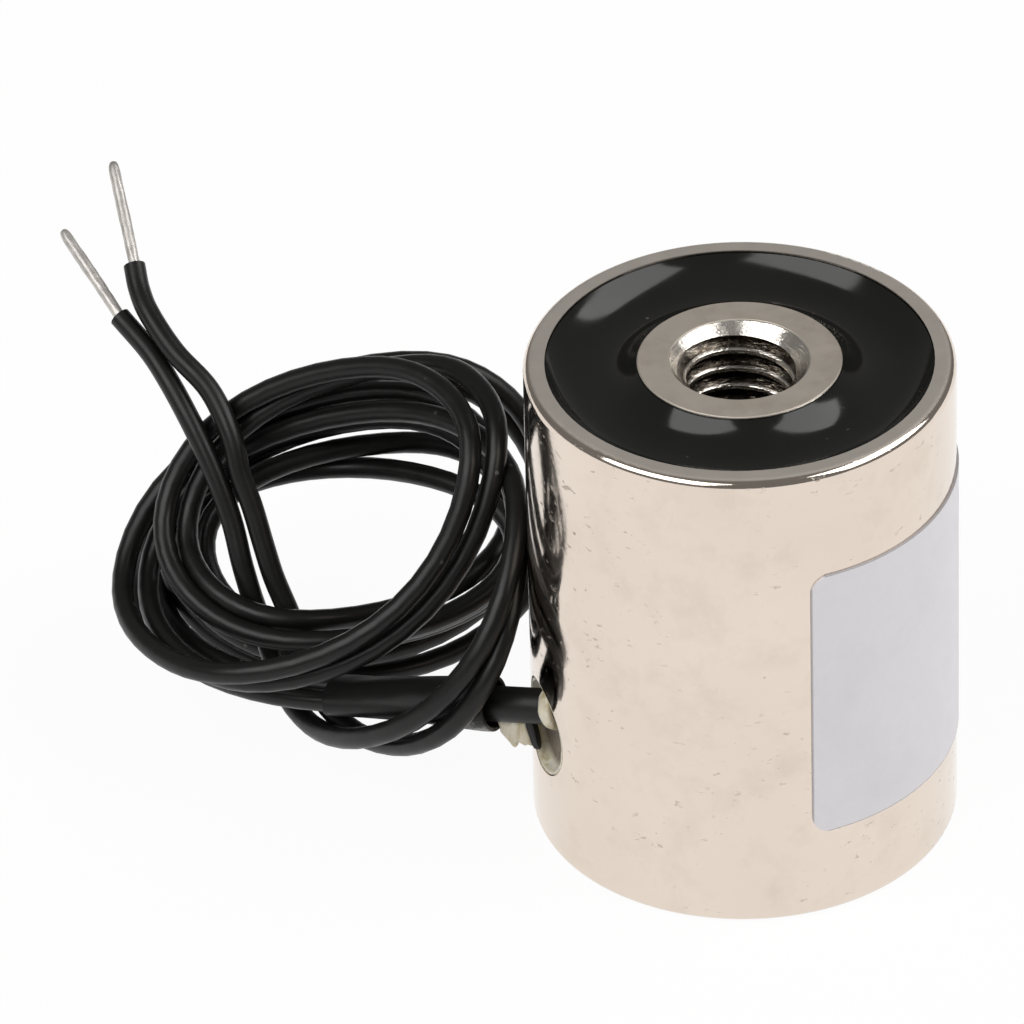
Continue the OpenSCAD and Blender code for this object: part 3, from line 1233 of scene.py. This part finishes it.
@dataclass
class Lead:
    """One insulated lead: out of the sleeve, round the coil and up to its cut end."""

    name: str
    side: int
    turns: Sequence[Turn]
    tail: Sequence[Tuple[float, float, float]]
    strands_along: Tuple[float, float, float]
    leave_near: float
    diameter: float = 1.05
    wall_x: float = -10.0
    run_steps: int = 6
    quarter_steps: int = 12
    tail_steps: int = 8
    ease: int = 6
    round_steps: int = 5

    def tail_points(self) -> List[Vector]:
        """Gives the free end's points in the part's frame.

        Returns:
            The points, in mm.
        """
        return [Vector(p) + Vector((self.wall_x, 0, 0)) for p in self.tail]

    def tip(self) -> Tuple[Vector, Vector]:
        """Gives the cut end of the insulation.

        Returns:
            Its place in mm and the direction of the strands there.
        """
        return self.tail_points()[-1], Vector(self.strands_along).normalized()

    def quarter(self, p: Spot, q: Spot, level: bool) -> List[Tuple[float, float, float]]:
        """Works out a quarter turn between two outermost places.

        Args:
            p: Where it starts.
            q: Where it ends.
            level: Whether it starts level in the picture.

        Returns:
            Places in the picture's axes, without the last one.
        """
        half = (p.near + q.near) / 2 if p.half is None else p.half
        out = []
        for i in range(self.quarter_steps):
            w = i / self.quarter_steps
            fast, slow = math.sin(w * math.pi / 2), 1 - math.cos(w * math.pi / 2)
            a, b = (fast, slow) if level else (slow, fast)
            near = p.near * (1 - w) * (1 - 2 * w) + 4 * half * w * (1 - w) + q.near * w * (2 * w - 1)
            out.append((p.right + (q.right - p.right) * a, p.up + (q.up - p.up) * b, near))
        return out

    def relax(self, points: List[Vector]) -> List[Vector]:
        """Eases the bends by averaging each point with its neighbours.

        Args:
            points: The points; the first two and the last stay.

        Returns:
            The eased points.
        """
        for _ in range(self.ease):
            eased = [(a + 2 * b + c) / 4 for a, b, c in zip(points[1:], points[2:], points[3:])]
            points = points[:2] + eased + points[-1:]
        return points

    def smooth(self, before: Vector, points: List[Vector]) -> List[Vector]:
        """Runs a smooth line through the free end's points.

        Args:
            before: The point just before them.
            points: The points to pass.

        Returns:
            Close points on the line.
        """
        p = [before, *points, 2 * points[-1] - points[-2]]
        out = []
        for a, b, c, d in zip(p, p[1:], p[2:], p[3:]):
            for k in range(self.tail_steps):
                t = k / self.tail_steps
                out.append(0.5 * (2 * b + (c - a) * t + (2 * a - 5 * b + 4 * c - d) * t ** 2
                                  + (3 * b - a - 3 * c + d) * t ** 3))
        return out + [points[-1]]

    def route(self, line: LeadLine, face: CoilFace) -> List[Vector]:
        """Works out the whole route.

        Args:
            line: The straight line out of the cup.
            face: The coil's axes.

        Returns:
            Points in mm.
        """
        off = self.side * line.lead_off
        tail = self.tail_points()
        leave = face.read(line.at(line.run_end, off))
        spots = [Spot(leave.right, leave.up, leave.near, self.leave_near)]
        for turn in self.turns:
            spots += [turn.left, turn.top, turn.right, turn.bottom]
        spots.append(face.read(tail[0]))
        stride = (line.run_end - line.run_start) / self.run_steps
        bent = [line.at(line.run_start + stride * k, off) for k in range(self.run_steps)]
        for i, (p, q) in enumerate(zip(spots, spots[1:])):
            bent += [face.place(*place) for place in self.quarter(p, q, i % 2 == 0)]
        bent = self.relax(bent + tail[:2])
        return bent[:-1] + self.smooth(bent[-2], tail[1:])

    def build(self, line: LeadLine, face: CoilFace) -> bpy.types.Object:
        """Makes the lead as one open curve.

        Args:
            line: The straight line out of the cup.
            face: The coil's axes.

        Returns:
            The curve object.
        """
        points = [p * MM for p in self.route(line, face)]
        data = bpy.data.curves.new(self.name, "CURVE")
        data.dimensions = "3D"
        data.bevel_depth = self.diameter / 2 * MM
        data.bevel_resolution = self.round_steps
        data.use_fill_caps = True
        spline = data.splines.new("POLY")
        spline.points.add(len(points) - 1)
        for item, p in zip(spline.points, points):
            item.co = (*p, 1)
        piece = bpy.data.objects.new(self.name, data)
        bpy.context.scene.collection.objects.link(piece)
        return piece

    def length(self, line: LeadLine, face: CoilFace) -> float:
        """Measures the route.

        Args:
            line: The straight line out of the cup.
            face: The coil's axes.

        Returns:
            Its length, in metres.
        """
        points = self.route(line, face)
        return sum((b - a).length for a, b in zip(points, points[1:])) * MM


LEAD_1 = Lead(
    "lead_1", 1,
    turns=(
        Turn(Spot(-11.1, -2.1, -7.2), Spot(2.3, 8.95, -5.0), Spot(8.7, 3.0, -8.4), Spot(-1.6, -5.6, -5.9)),
        Turn(Spot(-9.0, -0.5, -7.4, -7.0), Spot(1.6, 6.2, -3.6), Spot(7.3, 0.0, -3.4), Spot(-2.1, -4.6, -3.0)),
        Turn(Spot(-7.9, 0.2, -5.0, -5.2), Spot(2.3, 5.0, -6.5), Spot(7.1, 1.5, -6.4),
             Spot(-3.0, -3.7, 0.2, -0.9)),
        Turn(Spot(-8.7, 0.7, -3.6, -2.4), Spot(3.0, 8.65, 0.4), Spot(6.4, 4.9, 6.4), Spot(-5.0, -6.6, 3.2, -0.6)),
        Turn(Spot(-10.6, -1.7, -5.8, -4.8), Spot(1.2, 6.5, -0.6, 3.2), Spot(7.35, 1.9, 7.0, 8.0),
             Spot(-0.7, -9.3, 2.0, -3.0)),
    ),
    tail=(
        (-9.5, 12.5, 5.5), (-10, 13.6, 7.2), (-10.2, 14.4, 8.7), (-10.3, 15.4, 10.3), (-10.6, 16.5, 12),
        (-11, 17.7, 13.5), (-11.4, 18.9, 14.7), (-11.8, 20.3, 15.7), (-12.25, 21.8, 16.5),
        (-13.1, 23.8, 17.4),
    ),
    strands_along=(-0.3, 1.1, 0.5),
    leave_near=-1.6,
)
LEAD_2 = Lead(
    "lead_2", -1,
    turns=(
        Turn(Spot(-10.2, -1.9, -9.8, -10.0), Spot(3.0, 8.0, -6.4), Spot(8.9, 0.7, -10.6),
             Spot(-0.9, -6.4, -6.7)),
        Turn(Spot(-9.7, -0.5, -8.2, -7.8), Spot(1.4, 7.0, -4.6), Spot(7.5, 0.0, -4.8), Spot(-2.0, -4.7, -4.4)),
        Turn(Spot(-8.5, 0.3, -6.2, -6.3), Spot(-0.9, 3.8, -7.6, -3.2), Spot(7.3, 0.1, -1.2),
             Spot(-3.0, -4.7, 1.0)),
        Turn(Spot(-9.8, 0.9, -2.8, -2.2), Spot(0.5, 8.55, 1.6), Spot(5.2, 4.4, 6.9), Spot(-6.2, -6.2, 4.4)),
        Turn(Spot(-11.8, -1.9, -4.6, -4.7), Spot(1.2, 7.5, -1.7, 1.3), Spot(7.4, 0.7, 5.7, 7.6),
             Spot(1.9, -9.6, 2.6, -1.5)),
    ),
    tail=(
        (-8, 11.5, 5), (-8.5, 12.6, 6.6), (-8.9, 13.5, 8.1), (-9.1, 14.3, 9.4), (-9.3, 15.3, 11),
        (-9.6, 16.2, 12.5), (-9.7, 17.2, 14.1), (-10.2, 18.9, 15.7), (-11.3, 20.8, 16.9),
        (-11.9, 22.8, 17.9), (-12, 24.1, 18.5), (-11.9, 25.2, 19.2),
    ),
    strands_along=(0.1, 1.1, 0.7),
    leave_near=-3.2,
)


@dataclass
class Studio:
    """White floor, a dim room and two soft boxes."""

    floor_size: float = 6.0
    floor_colour: Colour = (0.86, 0.86, 0.86)
    floor_pale: Colour = (0.88, 0.88, 0.88)
    white_share: float = 0.95
    room: float = 0.18
    room_colour: Colour = (1.0, 0.99, 0.98)
    box_size: Tuple[float, float] = (0.8, 0.5)
    box_watts: float = 4.8
    box_aim: Tuple[float, float, float] = (-0.003, 0.003, 0.015)
    box_place: Tuple[float, float, float] = (0.55, -0.25, 0.6)

    def floor(self) -> bpy.types.Object:
        """Makes the pale floor, white where it is seen directly or in a reflection.

        Returns:
            The floor object.
        """
        Bench.clear()
        bpy.ops.mesh.primitive_plane_add(size=self.floor_size)
        floor = bpy.context.active_object
        floor.name = "floor"
        n = Nodes("floor")
        n.feed("Base Color", n.mix(n.noise(3, 2), self.floor_colour, self.floor_pale))
        n.set(Roughness=0.9)
        path = n.add("ShaderNodeLightPath", {}).outputs
        seen = n.math("MAXIMUM", n.math("MAXIMUM", path["Is Camera Ray"], path["Is Glossy Ray"]),
                      path["Is Transmission Ray"])
        white = n.add("ShaderNodeEmission", {"Color": (1, 1, 1, 1), "Strength": 1.0})
        both = n.add("ShaderNodeMixShader", {
            0: n.math("MULTIPLY", seen, self.white_share), 1: n.shader.outputs[0], 2: white.outputs[0]})
        n.tree.links.new(both.outputs[0], n.tree.nodes["Material Output"].inputs["Surface"])
        floor.data.materials.append(n.material)
        return floor

    def world(self) -> None:
        """Sets the dim even room."""
        world = bpy.data.worlds.new("studio")
        bpy.context.scene.world = world
        world.use_nodes = True
        back = world.node_tree.nodes["Background"]
        back.inputs["Color"].default_value = (*self.room_colour, 1)
        back.inputs["Strength"].default_value = self.room

    def soft_box(self, name: str, place: Vector, aim: Vector, size: Tuple[float, float], watts: float) -> None:
        """Adds a rectangular soft light.

        Args:
            name: The light's name.
            place: Where it hangs, in metres.
            aim: What it points at, in metres.
            size: Its width and height, in metres.
            watts: Its power.
        """
        data = bpy.data.lights.new(name, "AREA")
        data.shape = "RECTANGLE"
        data.size, data.size_y = size
        data.energy = watts
        light = bpy.data.objects.new(name, data)
        bpy.context.scene.collection.objects.link(light)
        turn = (place - aim).to_track_quat("Z", "Y").to_matrix().to_4x4()
        light.matrix_world = Matrix.Translation(place) @ turn

    def build(self) -> None:
        """Sets up the floor, the room and the lights."""
        self.world()
        self.floor()
        x, y, z = self.box_place
        for name, side in (("soft_box_left", -1), ("soft_box_right", 1)):
            self.soft_box(name, Vector((side * x, y, z)), Vector(self.box_aim), self.box_size, self.box_watts)


class Assembly:
    """Puts the modelled pieces and the leads in the places of their CAD nodes."""

    def __init__(self, finishes: Finishes) -> None:
        self.finishes = finishes
        self.line = LeadLine()
        self.face = CoilFace(Viewpoint())

    def fit(self, piece: bpy.types.Object, slot: str, *nodes: str) -> bpy.types.Object:
        """Dresses a piece and puts it in the place of CAD nodes.

        Args:
            piece: The finished piece.
            slot: Its slot in the record.
            nodes: The CAD nodes that it stands for.

        Returns:
            The same piece.
        """
        self.finishes.dress(piece, slot)
        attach(piece, "root")
        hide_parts(*nodes)
        LOG.info("%s stands for %s", piece.name, ", ".join(nodes))
        return piece

    def magnet(self) -> None:
        """Builds the core and the resin."""
        self.fit(TappedCore().build(), "ground_steel", "core")
        self.fit(ResinRing().build(), "black_resin", "potting")

    def leads(self) -> None:
        """Builds the glue, the sleeve and both leads with their tinned ends."""
        seal = self.fit(GlueSeal().build(self.line), "clear_glue", "exit_seal")
        tube = self.fit(EntryTube().build(self.line), "black_sleeving", "inlet_tube")
        sleeve = self.fit(ShrunkSleeve().build(self.line), "black_sleeving", "lead_sleeve")
        for number, lead in ((1, LEAD_1), (2, LEAD_2)):
            strands = self.fit(TinnedEnd().build(f"strands_{number}", *lead.tip()), "tinned_copper",
                               f"tinned_end_{number}")
            piece = self.fit(lead.build(self.line, self.face), "lead_insulation",
                             f"lead_{number}_run", "lead_coil", f"lead_{number}_tail")
            length = lead.length(self.line, self.face)
            self.line.at(0) * MM
            LOG.info("%s: %.1f mm long", lead.name, length / MM)


def main() -> None:
    """Builds the scene in order: camera, finishes, pieces, leads and studio."""
    logging.basicConfig(level=logging.INFO, format="%(name)s: %(message)s")
    bpy.context.scene.view_settings.view_transform = "Standard"
    Viewpoint().make_camera()
    finishes = Finishes()
    finishes.dress_cad()
    assembly = Assembly(finishes)
    assembly.magnet()
    assembly.leads()
    Studio().build()


if __name__ == "__main__":
    main()
